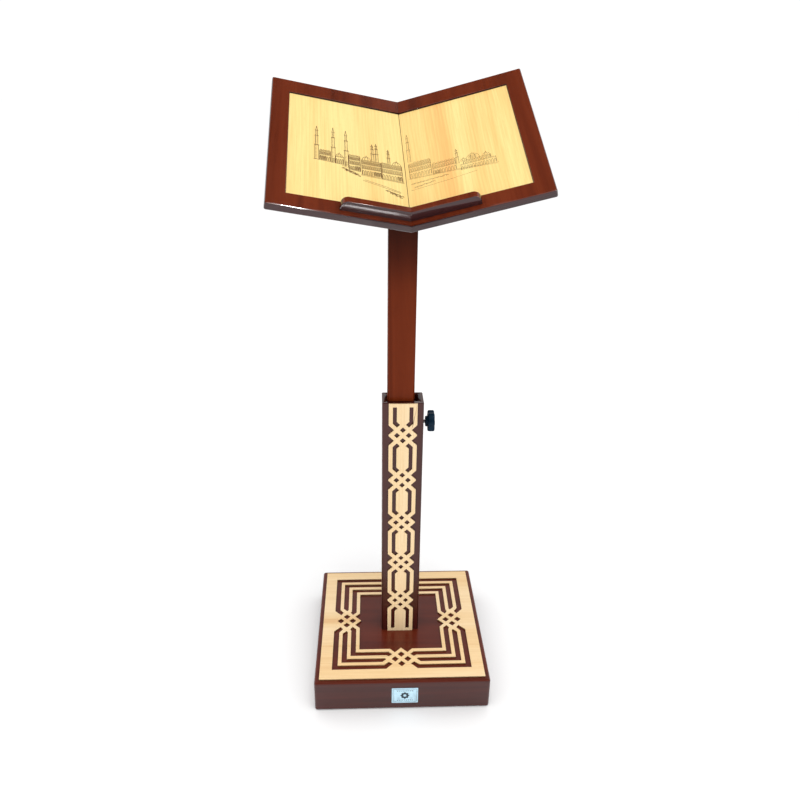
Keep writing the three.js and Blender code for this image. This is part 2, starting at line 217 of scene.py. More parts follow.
def rounded_rectangle(half_x, half_y, radius, steps=5):
    points = []
    for quarter, (sx, sy) in enumerate([(1, 1), (-1, 1), (-1, -1), (1, -1)]):
        for i in range(steps + 1):
            t = math.radians(90) * (quarter + i / steps)
            points.append((
                sx * (half_x - radius) + radius * math.cos(t),
                sy * (half_y - radius) + radius * math.sin(t),
            ))
    return points


# ---------------------------------------------------------------- materials

class Shader:
    """A material's nodes, made one after the other and joined by name."""

    def __init__(self, name):
        self.material = bpy.data.materials.new(name)
        self.material.use_nodes = True
        self.tree = self.material.node_tree
        self.bsdf = self.tree.nodes["Principled BSDF"]

    def node(self, kind, settings=None, **inputs):
        made = self.tree.nodes.new(kind)
        for key, value in (settings or {}).items():
            setattr(made, key, value)
        for key, value in inputs.items():
            self.put(made.inputs[key.replace("_", " ")], value)
        return made

    def put(self, socket, value):
        if isinstance(value, bpy.types.NodeSocket):
            self.tree.links.new(value, socket)
        else:
            socket.default_value = value

    def set(self, **inputs):
        for key, value in inputs.items():
            self.put(self.bsdf.inputs[key.replace("_", " ")], value)

    def place(self, turn=Matrix.Identity(3), stretch=(1, 1, 1)):
        """Object coordinates in a frame whose Y runs along the grain, then stretched."""
        coords = self.node("ShaderNodeTexCoord").outputs["Object"]
        turned_back = self.node(
            "ShaderNodeMapping", Vector=coords, Rotation=turn.transposed().to_euler("XYZ"),
        ).outputs["Vector"]
        return self.node("ShaderNodeMapping", Vector=turned_back, Scale=stretch).outputs["Vector"]

    def noise(self, vector, scale, detail=3.0, roughness=0.55, distortion=0.0):
        return self.node(
            "ShaderNodeTexNoise", Vector=vector, Scale=scale, Detail=detail, Roughness=roughness,
            Distortion=distortion,
        ).outputs["Fac"]

    def ramp(self, value, *stops):
        """Colours or greys at places along value."""
        made = self.node("ShaderNodeValToRGB", Fac=value)
        band = made.color_ramp
        while len(band.elements) < len(stops):
            band.elements.new(0.5)
        for element, (place, colour) in zip(band.elements, stops):
            element.position = place
            element.color = colour if len(colour) == 4 else (*colour, 1)
        return made.outputs["Color"]

    def between(self, value, low, high, from_low=0.0, from_high=1.0):
        made = self.node("ShaderNodeMapRange", Value=value)
        limits = {"From Min": from_low, "From Max": from_high, "To Min": low, "To Max": high}
        for key, number in limits.items():
            made.inputs[key].default_value = number
        return made.outputs["Result"]

    def mix(self, factor, a, b, blend="MIX"):
        made = self.node("ShaderNodeMix", {"data_type": "RGBA", "blend_type": blend})
        self.put(made.inputs[0], factor)
        self.put(made.inputs[6], a)
        self.put(made.inputs[7], b)
        return made.outputs[2]

    def add(self, a, b, scale=1.0):
        made = self.node("ShaderNodeMath", {"operation": "MULTIPLY_ADD"})
        self.put(made.inputs[0], b)
        made.inputs[1].default_value = scale
        self.put(made.inputs[2], a)
        return made.outputs[0]

    def bump(self, height, strength, distance):
        made = self.node("ShaderNodeBump", Height=height, Strength=strength, Distance=distance)
        self.put(self.bsdf.inputs["Normal"], made.outputs["Normal"])


def srgb(r, g, b):
    """A colour given as 0 to 255 screen values, as the shader takes it."""
    def linear(v):
        v /= 255
        return v / 12.92 if v <= 0.04045 else ((v + 0.055) / 1.055) ** 2.4
    return (linear(r), linear(g), linear(b), 1.0)


def wood(name, deep, middle, pale, turn, bold=0.25, arches=0.0, rough=(0.38, 0.5)):
    """Sliced wood with Y along the grain: broad streaks, growth lines that run along it (the more
    arches, the more they close into tongues), fine fibres and short flecks."""
    s = Shader(name)
    broad = s.noise(s.place(turn, (22, 0.9, 22)), 1.0, 3.0, 0.5, 0.6)
    drift = s.noise(s.place(turn, (9, 2.2, 9)), 1.0, 2.0)
    bent = s.node("ShaderNodeMapping", Vector=s.place(turn), Scale=(1, 0.16 * arches, 1)).outputs["Vector"]
    ring = s.node(
        "ShaderNodeTexWave", {"wave_type": "BANDS", "bands_direction": "X"},
        Vector=bent, Scale=62.0, Distortion=5.0, Detail=2.0, Detail_Scale=1.3, Detail_Roughness=0.5,
        Phase_Offset=s.between(drift, 0, 9.0 * (1 + arches)),
    ).outputs["Fac"]
    streaks = s.noise(s.place(turn, (150, 3.0, 150)), 1.0, 4.0, 0.6)
    fibres = s.noise(s.place(turn, (700, 12, 700)), 1.0, 3.0, 0.6)
    figure = s.add(s.add(broad, s.add(streaks, ring, 0.3), 0.5 * bold), fibres, 0.1)
    low = 0.28 + 0.35 * bold
    base = s.ramp(figure, (low, deep), (low + 0.15, middle), (low + 0.38, pale))
    dashes = s.noise(s.place(turn, (1500, 110, 1500)), 1.0, 1.0)
    fleck = s.ramp(dashes, (0.60, (0, 0, 0)), (0.72, (0.3, 0.3, 0.3)))
    fine = s.ramp(fibres, (0.34, (0.90, 0.86, 0.80)), (0.60, (1, 1, 1)))
    s.set(Base_Color=s.mix(fleck, s.mix(0.7, base, fine, "MULTIPLY"), deep))
    s.set(Roughness=s.between(fibres, *rough), IOR=1.5, Specular_IOR_Level=0.3)
    s.bump(s.add(fibres, dashes, -0.6), 0.15, 0.06 * MM)
    return s.material


def lacquer(
    name, deep, middle, pale, turn, rough=(0.26, 0.36), specular=0.38, coat=0.15, painted_shade_heights=None,
):
    """Glossy stained lacquer: the wood shows through it as faint dark streaks and closed pores.
    Between the two heights of its last argument its colour is painted darker: painted shade."""
    s = Shader(name)
    streaks = s.noise(s.place(turn, (42, 1.8, 42)), 1.0, 5.0, 0.62, 0.8)
    pores = s.noise(s.place(turn, (1100, 38, 1100)), 1.0, 2.0)
    clouds = s.noise(s.place(turn, (6, 6, 6)), 1.0, 3.0)
    stain = s.ramp(streaks, (0.28, deep), (0.52, middle), (0.82, pale))
    shade = s.ramp(clouds, (0.30, (0.86, 0.84, 0.84)), (0.70, (1.0, 1.0, 1.0)))
    stain = s.mix(0.6, stain, shade, "MULTIPLY")
    grain = s.ramp(pores, (0.26, (0.5, 0.46, 0.46)), (0.42, (1, 1, 1)))
    colour = s.mix(0.4, stain, grain, "MULTIPLY")
    # painted shade: the colour turns darker upwards between the two heights
    if painted_shade_heights:
        height = s.node("ShaderNodeSeparateXYZ", Vector=s.place()).outputs["Z"]
        painted_shade_factor = s.ramp(
            s.between(height, 0, 1, *painted_shade_heights),
            (0.0, (1, 1, 1)), (0.45, (0.5, 0.48, 0.52)), (1.0, (0.12, 0.14, 0.17)),
        )
        colour = s.mix(1.0, colour, painted_shade_factor, "MULTIPLY")
    s.set(Base_Color=colour)
    s.set(Roughness=s.between(clouds, *rough), IOR=1.5, Specular_IOR_Level=specular)
    s.set(Coat_Weight=coat, Coat_Roughness=0.06)
    peel = s.noise(s.place(turn, (260, 260, 260)), 1.0, 2.0)
    s.bump(s.add(peel, pores, 0.4), 0.08, 0.06 * MM)
    return s.material


def plastic(name, colour, worn):
    """Moulded plastic with a fine spark-eroded grain and rubbed high spots."""
    s = Shader(name)
    grain = s.noise(s.place(stretch=(1400, 1400, 1400)), 1.0, 2.0)
    rub = s.noise(s.place(stretch=(130, 130, 130)), 1.0, 3.0)
    s.set(Base_Color=s.ramp(rub, (0.35, colour), (0.75, worn)))
    s.set(Roughness=s.between(rub, 0.36, 0.5), IOR=1.47, Specular_IOR_Level=0.14)
    s.bump(grain, 0.22, 0.05 * MM)
    return s.material


def metal(name, colour, tarnish, rough, brushed=(1, 1, 1), metallic=1.0):
    """Metal with fine working marks along one direction and faint tarnish."""
    s = Shader(name)
    marks = s.noise(s.place(stretch=tuple(1200 * b for b in brushed)), 1.0, 2.0)
    stain = s.noise(s.place(stretch=(240, 240, 240)), 1.0, 3.0)
    s.set(Base_Color=s.ramp(stain, (0.38, colour), (0.78, tarnish)), Metallic=metallic)
    s.set(Roughness=s.between(marks, *rough))
    s.bump(marks, 0.15, 0.02 * MM)
    return s.material


def along(x, y, z):
    """A frame whose Y is the given direction, as the grain of a board."""
    y_axis = Vector((x, y, z)).normalized()
    helper = Vector((0, 0, 1)) if abs(y_axis.z) < 0.9 else Vector((0, -1, 0))
    x_axis = y_axis.cross(helper).normalized()
    z_axis = x_axis.cross(y_axis)
    return Matrix((x_axis, y_axis, z_axis)).transposed()


def desk_frame():
    turn = Euler((DESK_TILT, 0, 0)).to_matrix().to_4x4()
    turn = Euler((0, DESK_ROLL, 0)).to_matrix().to_4x4() @ turn
    turn = Euler((0, 0, DESK_YAW)).to_matrix().to_4x4() @ turn
    return Matrix.Translation((POST_X, 0, DESK_Z)) @ turn


def wing_frame(side):
    """x out along the wing (to the reader's right on both), y up the slope, z out of its reading face."""
    return desk_frame() @ Matrix.Rotation(-side * WING_RISE, 4, "Y")


UPRIGHT = along(0, 0, 1)
ACROSS = along(1, 0, 0)

# Woods and lacquers, from their darkest tone to their palest
RED = (srgb(84, 30, 10), srgb(106, 40, 15), srgb(120, 50, 22))
DARK = (srgb(56, 20, 16), srgb(72, 26, 20), srgb(86, 33, 24))
# A lighter, redder copy of DARK for the deck's upward faces: painted light
DECK_RED_PAINTED_LIGHT = (srgb(76, 24, 12), srgb(94, 32, 15), srgb(108, 40, 20))
# A darker copy of RED for the desk's narrow faces: painted shade
EDGE_PAINTED_SHADE = (srgb(46, 22, 24), srgb(58, 28, 30), srgb(70, 34, 36))
BEECH = (srgb(228, 184, 132), srgb(238, 204, 152), srgb(244, 216, 172))
PALE_BEECH = (srgb(230, 190, 142), srgb(241, 211, 164), srgb(247, 222, 182))
VENEER = (srgb(238, 184, 110), srgb(239, 200, 124), srgb(242, 216, 142))
BURNT = (srgb(58, 32, 14), srgb(82, 48, 22), srgb(104, 66, 36))
RAW = (srgb(150, 112, 72), srgb(186, 146, 98), srgb(206, 170, 122))

# Plastic and metals, clean and worn
BLACK = (srgb(6, 31, 48), srgb(14, 43, 62))
ZINC = (srgb(198, 200, 204), srgb(160, 162, 160))
BRASS = (srgb(206, 170, 88), srgb(160, 120, 62))
LABEL = (srgb(201, 235, 251), srgb(181, 217, 235))

POST_PAINTED_SHADE = (0.70, 0.82)  # heights between which the post's colour is painted dark: a painted shadow under the desk
dark_upright = lacquer("dark_lacquer_upright", *DARK, UPRIGHT)
dark_across = lacquer("dark_lacquer_across", *DARK, ACROSS)
deck_lacquer_painted_light = lacquer("deck_lacquer_painted_light", *DECK_RED_PAINTED_LIGHT, ACROSS)
red_upright = lacquer(
    "red_lacquer_upright", *RED, UPRIGHT, specular=0.06, coat=0.03, painted_shade_heights=POST_PAINTED_SHADE,
)
beech_across = wood("beech_across", *BEECH, ACROSS)
beech_upright = wood("beech_upright", *PALE_BEECH, UPRIGHT)
raw_wood = wood("raw_plywood", *RAW, ACROSS, bold=0.6, arches=0.5, rough=(0.7, 0.85))
black_plastic = plastic("black_plastic", *BLACK)
steel = metal("zinc_plated_steel", *ZINC, rough=(0.25, 0.4))
brass_metal = metal("turned_brass", *BRASS, rough=(0.22, 0.38))
label_metal = metal("label_aluminium", *LABEL, rough=(0.4, 0.5), brushed=(0.05, 1, 1), metallic=0.2)


def ink():
    s = Shader("label_ink")
    patches = s.noise(s.place(stretch=(900, 900, 900)), 1.0, 2.0)
    s.set(Base_Color=s.ramp(patches, (0.35, srgb(22, 40, 52)), (0.75, srgb(52, 72, 84))))
    s.set(Roughness=s.between(patches, 0.4, 0.6))
    s.bump(patches, 0.2, 0.03 * MM)
    return s.material


def felt():
    s = Shader("wool_felt")
    fluff = s.noise(s.place(stretch=(900, 900, 900)), 1.0, 5.0, 0.7, 1.2)
    patches = s.noise(s.place(stretch=(160, 160, 160)), 1.0, 3.0)
    tone = s.ramp(s.add(fluff, patches, 0.5), (0.45, srgb(22, 20, 19)), (1.05, srgb(66, 62, 58)))
    s.set(Base_Color=tone, Roughness=0.95, Sheen_Weight=0.6, Sheen_Roughness=0.5)
    s.bump(fluff, 0.7, 0.4 * MM)
    return s.material


label_ink = ink()
wool_felt = felt()


# ---------------------------------------------------------------- base

base_low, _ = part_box("base_skirt_front")
BASE_HALF = 150 * MM
BASE_FOOT = base_low.z
BASE_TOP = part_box("base_top_board")[1].z
SKIRT_T = 15 * MM
DECK_T = 18 * MM
TOP_ROUND = 3.4 * MM
CORNER_ROUND = 4.4 * MM


def base_shell():
    """The skirts and the deck under one coat of lacquer: a shallow box, open below. Its upward faces take a
    lighter, redder copy of that lacquer as painted light.
    """
    bm = prism(rounded_rectangle(BASE_HALF, BASE_HALF, CORNER_ROUND), BASE_FOOT, BASE_TOP)
    round_edges(bm, TOP_ROUND, 5, lambda e: all(v.co.z > BASE_TOP - MM for v in e.verts), 60)
    round_edges(bm, 1.5 * MM, 3, lambda e: all(v.co.z < BASE_FOOT + MM for v in e.verts), 60)
    well = BASE_HALF - SKIRT_T
    room = box_solid((-well, -well, BASE_FOOT - 5 * MM), (well, well, BASE_TOP - DECK_T))
    shell = subtract(bm, [room])
    for face in shell.faces:
        # upward faces get the lighter copy of the lacquer: painted light
        face.material_index = int(face.normal.z > 0.5)
    return shell


skirts = [f"base_skirt_{side}" for side in ("front", "right", "rear", "left")]
piece(
    "base_shell", base_shell(), [dark_across, deck_lacquer_painted_light], BASE,
    [*skirts, "base_top_board"],
)


def cut_sheet(node, is_face):
    """A fretwork sheet with the arrises of its outer face broken."""
    bm = bmesh.new()
    bm.from_mesh(frame["nodes"][node].data)
    bmesh.ops.remove_doubles(bm, verts=bm.verts, dist=0.002 * MM)
    round_edges(bm, 0.35 * MM, 2, lambda e: all(is_face(v.co) for v in e.verts), 60)
    return bm


ring_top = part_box("base_fretwork")[1].z
piece(
    "base_fretwork_sheet", cut_sheet("base_fretwork", lambda p: p.z > ring_top - 0.1 * MM),
    [beech_across], BASE, ["base_fretwork"],
)

# ---------------------------------------------------------------- column

col_low, col_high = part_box("column_front_board")
COL_X = (col_high.x - col_low.x) / 2
COL_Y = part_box("column_rear_board")[1].y
COL_WALL = 8 * MM
CLAMP_Z = next(j for j in frame["joints"] if j["name"] == "knob_turn")["pos_m"][2]
to_clamp = Matrix.Translation((0, 0, CLAMP_Z)) @ Matrix.Rotation(math.radians(90), 4, "Y")
insert_low, insert_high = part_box("threaded_insert")
INSERT_R = (insert_high.y - insert_low.y) / 2


def column_shell():
    """The four boards as one lacquered tube with a bore for the insert."""
    bm = prism(rounded_rectangle(COL_X, COL_Y, 2.2 * MM), col_low.z, col_high.z)
    round_edges(bm, 1.2 * MM, 3, lambda e: all(v.co.z > col_high.z - MM for v in e.verts), 60)
    inner = prism(
        rounded_rectangle(COL_X - COL_WALL, COL_Y - COL_WALL, 0.6 * MM, 2),
        col_low.z - 5 * MM, col_high.z + 5 * MM,
    )
    bore_r = INSERT_R + 0.1 * MM
    start, end = COL_X - 2 * COL_WALL, COL_X + COL_WALL
    bore = turned([(0, start), (bore_r, start), (bore_r, end), (0, end)])
    bore.transform(to_clamp)
    return subtract(bm, [inner, bore])


boards = [f"column_{side}_board" for side in ("front", "rear", "left", "right")]
piece("column_shell", column_shell(), [dark_upright], BASE, boards)

sheet_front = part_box("column_fretwork")[0].y
piece(
    "column_fretwork_sheet", cut_sheet("column_fretwork", lambda p: p.y < sheet_front + 0.1 * MM),
    [beech_upright], BASE, ["column_fretwork"],
)

# ---------------------------------------------------------------- post and cradle

def long_edges(length):
    return lambda e: e.calc_length() > length


post = solid_of("post")
round_edges(post, 2.8 * MM, 4, long_edges(100 * MM))
piece("post_bar", post, [red_upright], DESK, ["post"])

slope_turn = desk_frame().to_3x3()
slope_lacquer = lacquer("red_lacquer_slope", *RED, slope_turn)
cradle = solid_of("desk_cradle")
round_edges(cradle, 1.8 * MM, 3, long_edges(20 * MM))
piece("desk_cradle_block", cradle, [slope_lacquer], DESK, ["desk_cradle"])

# ---------------------------------------------------------------- desk

BOARD_ROUND = 2.6 * MM
RIM_ROUND = 0.9 * MM
LEDGE_W = 94 * MM
LEDGE_H = 15.5 * MM
LEDGE_T = 9.4 * MM
LEDGE_AT = 8.4 * MM
LEDGE_CORNER = 10 * MM
LEDGE_SCREWS = (30 * MM, 74 * MM)
desk_foot = -WING_H / 2
desk_head = WING_H / 2
pocket_foot = desk_foot + FRAME_FOOT
pocket_head = desk_head - FRAME_TOP
pocket_side = WING_W - FRAME_SIDE


def mitre(depth):
    """Distance from the fold of a wing's mitred end, at a depth below its reading face."""
    return FOLD_SLIP / math.cos(WING_RISE) - depth * math.tan(WING_RISE)


def wing_board():
    """A board with a pocket in its reading face that runs out at the fold."""
    bm = bmesh.new()

    def corner(x, y, z):
        return bm.verts.new((x, y, z))

    top = [corner(x, y, 0) for x, y in [
        (mitre(0), desk_foot), (WING_W, desk_foot), (WING_W, desk_head), (mitre(0), desk_head),
        (mitre(0), pocket_head), (pocket_side, pocket_head), (pocket_side, pocket_foot),
        (mitre(0), pocket_foot),
    ]]
    under = [corner(x, y, -WING_T) for x, y in [
        (mitre(WING_T), desk_foot), (WING_W, desk_foot), (WING_W, desk_head), (mitre(WING_T), desk_head),
    ]]
    floor = [corner(x, y, -POCKET) for x, y in [
        (mitre(POCKET), pocket_head), (pocket_side, pocket_head), (pocket_side, pocket_foot),
        (mitre(POCKET), pocket_foot),
    ]]
    bm.faces.new(top)
    bm.faces.new(under)
    bm.faces.new(floor)
    for i in range(3):
        bm.faces.new([top[i], top[i + 1], under[i + 1], under[i]])
        bm.faces.new([top[i + 4], top[i + 5], floor[i + 1], floor[i]])
    bm.faces.new([top[3], under[3], under[0], top[0], top[7], floor[3], floor[0], top[4]])
    bmesh.ops.recalc_face_normals(bm, faces=bm.faces)

    def is_rim(e):
        middle = (e.verts[0].co + e.verts[1].co) / 2
        inside = pocket_foot - MM < middle.y < pocket_head + MM and middle.x < pocket_side + MM
        return inside and all(v.co.z > -MM for v in e.verts) and e.calc_length() > 50 * MM

    def is_outer(e):
        return any(v.co.x > WING_W - MM for v in e.verts) or (
            all(v.co.y < desk_foot + MM or v.co.y > desk_head - MM for v in e.verts)
            and abs(e.verts[0].co.x - e.verts[1].co.x) > 50 * MM
        )

    round_edges(bm, BOARD_ROUND, 4, is_outer)
    round_edges(bm, RIM_ROUND, 3, is_rim)
    return bm


SCREW_HEAD_R = 4 * MM
SCREW_HEAD_H = 2.6 * MM
SCREW_SHANK_R = 2 * MM
SCREW_PLAIN = 0.35  # share of a screw's length without a thread


def countersink(x, y, z):
    """The seat of a screw head that is let in flush at height z, facing down."""
    wide, narrow = SCREW_HEAD_R + 0.25 * MM, SCREW_SHANK_R + 0.1 * MM
    cone = turned([
        (0, -2 * MM), (wide, -2 * MM), (wide, 0), (narrow, SCREW_HEAD_H), (narrow, 6 * MM), (0, 6 * MM),
    ], 32)
    cone.transform(Matrix.Translation((x, y, z)))
    return cone


def ledge_bar():
    """A book ledge with its free upper corner rounded."""
    points = [(mitre(0), 0), (LEDGE_W, 0)]
    for i in range(9):
        t = math.radians(90) * i / 8
        points.append((
            LEDGE_W - LEDGE_CORNER + LEDGE_CORNER * math.cos(t),
            LEDGE_H - LEDGE_CORNER + LEDGE_CORNER * math.sin(t),
        ))
    points.append((mitre(-LEDGE_H), LEDGE_H))
    bm = prism(points, 0, LEDGE_T)
    bm.transform(Matrix.Rotation(math.radians(90), 4, "X"))
    bm.transform(Matrix.Translation((0, desk_foot + LEDGE_AT + LEDGE_T, 0)))
    round_edges(
        bm, 1.0 * MM, 3,
        lambda e: abs(e.verts[0].co.y - e.verts[1].co.y) < MM and all(v.co.z > MM for v in e.verts)
        and max(v.co.x for v in e.verts) > 20 * MM,
        50,
    )
    return bm


def paint_shade_on_edges(bm):
    """Gives the narrow faces of a board the second material, a darker copy of its lacquer: painted shade."""
    bm.normal_update()
    for face in bm.faces:
        face.material_index = int(abs(face.normal.z) < 0.6)


def mirrored(bm, side):
    """Drawn for the right wing, used as it is or turned over to the left."""
    if side < 0:
        bm.transform(Matrix.Diagonal((-1, 1, 1, 1)))
        bmesh.ops.reverse_faces(bm, faces=bm.faces)
    bm.transform(wing_frame(side))
    return bm


# ---- engraving: a skyline of towers, domes and arcades of no particular place, in millimetres

def arch(x, foot, width, height, steps=4):
    """A pointed opening, from its left foot over the crown to its right foot."""
    half = width / 2
    spring = foot + height / 2
    bend = [math.radians(90) * i / steps for i in range(steps + 1)]
    left = [(x - half * math.cos(t), spring + height / 2 * math.sin(t) ** 0.8) for t in bend]
    right = [(2 * x - px, py) for px, py in reversed(left[:-1])]
    return [(x - half, foot), *left, *right, (x + half, foot)]


def tower(x, foot, top, width):
    """A slender tower in three stages with two galleries and a pointed cap."""
    height = top - foot
    lines = []
    for low, high, share in [(0.0, 0.42, 1.0), (0.42, 0.70, 0.72), (0.70, 0.86, 0.48)]:
        half = width * share / 2
        y0, y1 = foot + height * low, foot + height * high
        lines += [[(x - half, y0), (x - half, y1)], [(x + half, y0), (x + half, y1)]]
        lines += [[(x - half - 0.8, y), (x + half + 0.8, y)] for y in (y1, y1 + 1.2)]
        lines += hatch(x, x + half, y0, y1 - 1, 3)
    cap = width * 0.24
    lines.append([(x - cap, foot + height * 0.88), (x, top), (x + cap, foot + height * 0.88)])
    return lines


def dome(x, foot, width, height, steps=7):
    """A round dome on a drum, with a spike and ribs."""
    half = width / 2
    bend = [math.pi * i / steps for i in range(steps + 1)]
    lines = [[(x - share * half * math.cos(t), foot + height * math.sin(t)) for t in bend]
             for share in (1.0, 0.4)]
    lines += [[(x - half, foot), (x + half, foot)], [(x, foot + height), (x, foot + height + 2.5)]]
    return lines


def hatch(x0, x1, y0, y1, spacing):
    """Short level strokes one above the other, as shading."""
    rows = max(1, round((y1 - y0) / spacing))
    return [[(x0, y0 + (y1 - y0) * (i + 0.5) / rows), (x1, y0 + (y1 - y0) * (i + 0.5) / rows)]
            for i in range(rows)]


def arcade(x0, x1, foot, height, bays):
    """A wall with a parapet and a row of arches."""
    lines = [[(x0, foot), (x0, foot + height), (x1, foot + height), (x1, foot)],
             [(x0, foot + height - 1.4), (x1, foot + height - 1.4)]]
    bay = (x1 - x0) / bays
    lines += [arch(x0 + bay * (i + 0.5), foot, bay * 0.6, height * 0.66) for i in range(bays)]
    return lines


def row_of_domes(x0, x1, foot, count):
    """Plain domes side by side, without their ribs."""
    step = (x1 - x0) / count
    return [dome(x0 + step * (i + 0.5), foot, step * 0.8, step * 0.5, 5)[0] for i in range(count)]


def shrubs(x0, y0, x1, y1, count):
    """Low round bushes in a row, one beside the other."""
    lines = []
    for i in range(count):
        x, y = x0 + (x1 - x0) * i / count, y0 + (y1 - y0) * i / count
        r = 2.1 + 0.9 * math.sin(2.4 * i)
        crown = [(x + r * math.cos(t), y + 0.8 * r * math.sin(t)) for t in (0, 0.8, 1.6, 2.4, 3.1)]
        lines.append(crown)
        lines.append([(x - 0.5 * r, y), (x + 0.3 * r, y + 0.3 * r)])
    return lines


def skyline(side):
    """Lines as (distance from the fold, height above the desk's foot) points."""
    if side < 0:
        lines = [[(88, 107), (127, 109)], [(64, 97), (88, 105)], [(3, 90), (62, 93)], [(3, 88.4), (62, 91)]]
        lines += tower(123, 108, 184, 4.8) + tower(100, 107, 187, 4.8) + tower(82, 104, 185, 4.8)
        lines += arcade(104, 119, 109, 13, 5) + arcade(104, 119, 122, 8, 7) + row_of_domes(104, 119, 130, 4)
        lines += arcade(86, 97, 107, 16, 4) + dome(92, 123, 9, 6) + arcade(63, 79, 98, 14, 6)
        lines += arcade(63, 79, 112, 10, 7) + arcade(63, 79, 122, 8, 8) + row_of_domes(63, 79, 130, 4)
        lines += arcade(34, 61, 93, 14, 8) + arcade(34, 61, 107, 10, 10) + arcade(34, 61, 117, 8, 12)
        lines += tower(45, 125, 164, 3.6) + tower(39, 125, 167, 3.6) + dome(54, 125, 12, 8)
        lines += arcade(4, 33, 91, 15, 7) + arcade(4, 33, 106, 11, 9) + arcade(4, 33, 117, 8, 11)
        lines += dome(11, 125, 12, 8) + tower(22, 125, 158, 3.2) + row_of_domes(25, 33, 125, 2)
        shaded = [(34, 44, 94), (64, 70, 100), (110, 119, 110), (98, 102, 109), (81, 84, 106), (5, 11, 93)]
        for x0, x1, foot in shaded:
            lines += hatch(x0, x1, foot, foot + 9, 1.5)
        lines += shrubs(87, 99, 66, 90, 9) + shrubs(83, 95, 62, 86, 8)
        lines += [[(57, 82), (30, 75), (9, 68)], [(60, 80), (34, 73), (9, 66)]]
        lines += shrubs(28, 66, 5, 58, 9) + shrubs(22, 62, 6, 54, 5)
        return lines
    lines = [[(4, 98), (70, 93), (126, 86)], [(4, 96.4), (70, 91.4), (124, 84.4)]]
    lines += tower(7, 134, 198, 4.4) + tower(73, 104, 136, 3.4)
    lines += arcade(5, 36, 98, 14, 8) + arcade(5, 36, 112, 10, 10) + arcade(5, 36, 122, 7, 12)
    lines += row_of_domes(12, 36, 129, 5)
    lines += arcade(38, 70, 94, 13, 8) + arcade(38, 70, 107, 9, 10) + row_of_domes(38, 70, 116, 6)
    lines += arcade(76, 124, 88, 12, 13) + arcade(80, 118, 100, 7, 11)
    lines += dome(94, 107, 18, 11) + dome(112, 107, 9, 6) + dome(81, 107, 8, 5)
    lines += hatch(88, 99, 108, 115, 1.6) + hatch(40, 48, 95, 101, 1.6)
    lines += shrubs(8, 84, 60, 86, 13) + shrubs(12, 76, 40, 80, 7)
    lines += [[(5, 72), (60, 76), (96, 80)]]
    return lines


def ribbon(points, width):
    """A line as overlapping four-sided pieces."""
    pieces = []
    for (x0, y0), (x1, y1) in zip(points, points[1:]):
        run = Vector((x1 - x0, y1 - y0))
        if run.length < 1e-9:
            continue
        run.normalize()
        ahead = run * width / 2
        across = Vector((-run.y, run.x)) * width / 2
        a, b = Vector((x0, y0)) - ahead, Vector((x1, y1)) + ahead
        pieces.append([a - across, b - across, b + across, a + across])
    return pieces


def engraved_sheet(outline, marks, depth, thickness):
    """A sheet below z = 0 whose marks are sunk by depth and have the second material."""
    points = [Vector(p) for p in outline]
    faces = [list(range(len(points)))]
    for mark in marks:
        start = len(points)
        points += [Vector(p) for p in mark]
        faces.append(list(range(start, start + len(mark))))
    verts, _, made, _, _, came_from = delaunay_2d_cdt(points, [], faces, 1, 1e-6)
    bm = bmesh.new()
    corners = [bm.verts.new((x, y, 0)) for x, y in verts]
    sunk = []
    for ids, sources in zip(made, came_from):
        if 0 not in sources:
            continue
        face = bm.faces.new([corners[i] for i in ids])
        if len(sources) > 1:
            face.material_index = 1
            sunk.append(face)
    bmesh.ops.delete(bm, geom=[v for v in bm.verts if not v.link_faces], context="VERTS")
    bmesh.ops.recalc_face_normals(bm, faces=bm.faces)
    bm.normal_update()
    if sum(f.normal.z for f in bm.faces) < 0:
        bmesh.ops.reverse_faces(bm, faces=bm.faces)
    rim = [e for e in bm.edges if len(e.link_faces) == 1]
    skirt = bmesh.ops.extrude_edge_only(bm, edges=rim)["geom"]
    bmesh.ops.translate(bm, vec=(0, 0, -thickness), verts=verts_of(skirt))
    open_edges = [e for e in skirt if isinstance(e, bmesh.types.BMEdge) and len(e.link_faces) == 1]
    bmesh.ops.edgeloop_fill(bm, edges=open_edges)
    floor = bmesh.ops.extrude_face_region(bm, geom=sunk)["geom"]
    bmesh.ops.delete(bm, geom=sunk, context="FACES_ONLY")
    bmesh.ops.translate(bm, vec=(0, 0, -depth), verts=verts_of(floor))
    for face in bm.faces:
        if abs(face.normal.z) < 0.5 and all(v.co.z > -depth - 1e-6 for v in face.verts):
            face.material_index = 1
    return bm


LINE_WIDTH = {-1: 0.66 * MM, 1: 0.42 * MM}  # the right half is drawn finer
ENGRAVED = 0.3 * MM


def wing_panel(side):
    left = mitre(PANEL_SINK) + FOLD_JOINT
    right = pocket_side - PANEL_GAP - PANEL_SHRINK
    foot, head = pocket_foot + PANEL_GAP, pocket_head - PANEL_GAP - PANEL_SHRINK
    outline = [(left, foot), (right, foot), (right, head), (left, head)]
    marks = []
    for line in skyline(side):
        shifted = [(a * MM, b * MM + desk_foot) for a, b in line]
        marks += ribbon(shifted, LINE_WIDTH[side])
    bm = engraved_sheet(outline, marks, ENGRAVED, PANEL_T)
    bm.transform(Matrix.Translation((0, 0, -PANEL_SINK)))
    return bm


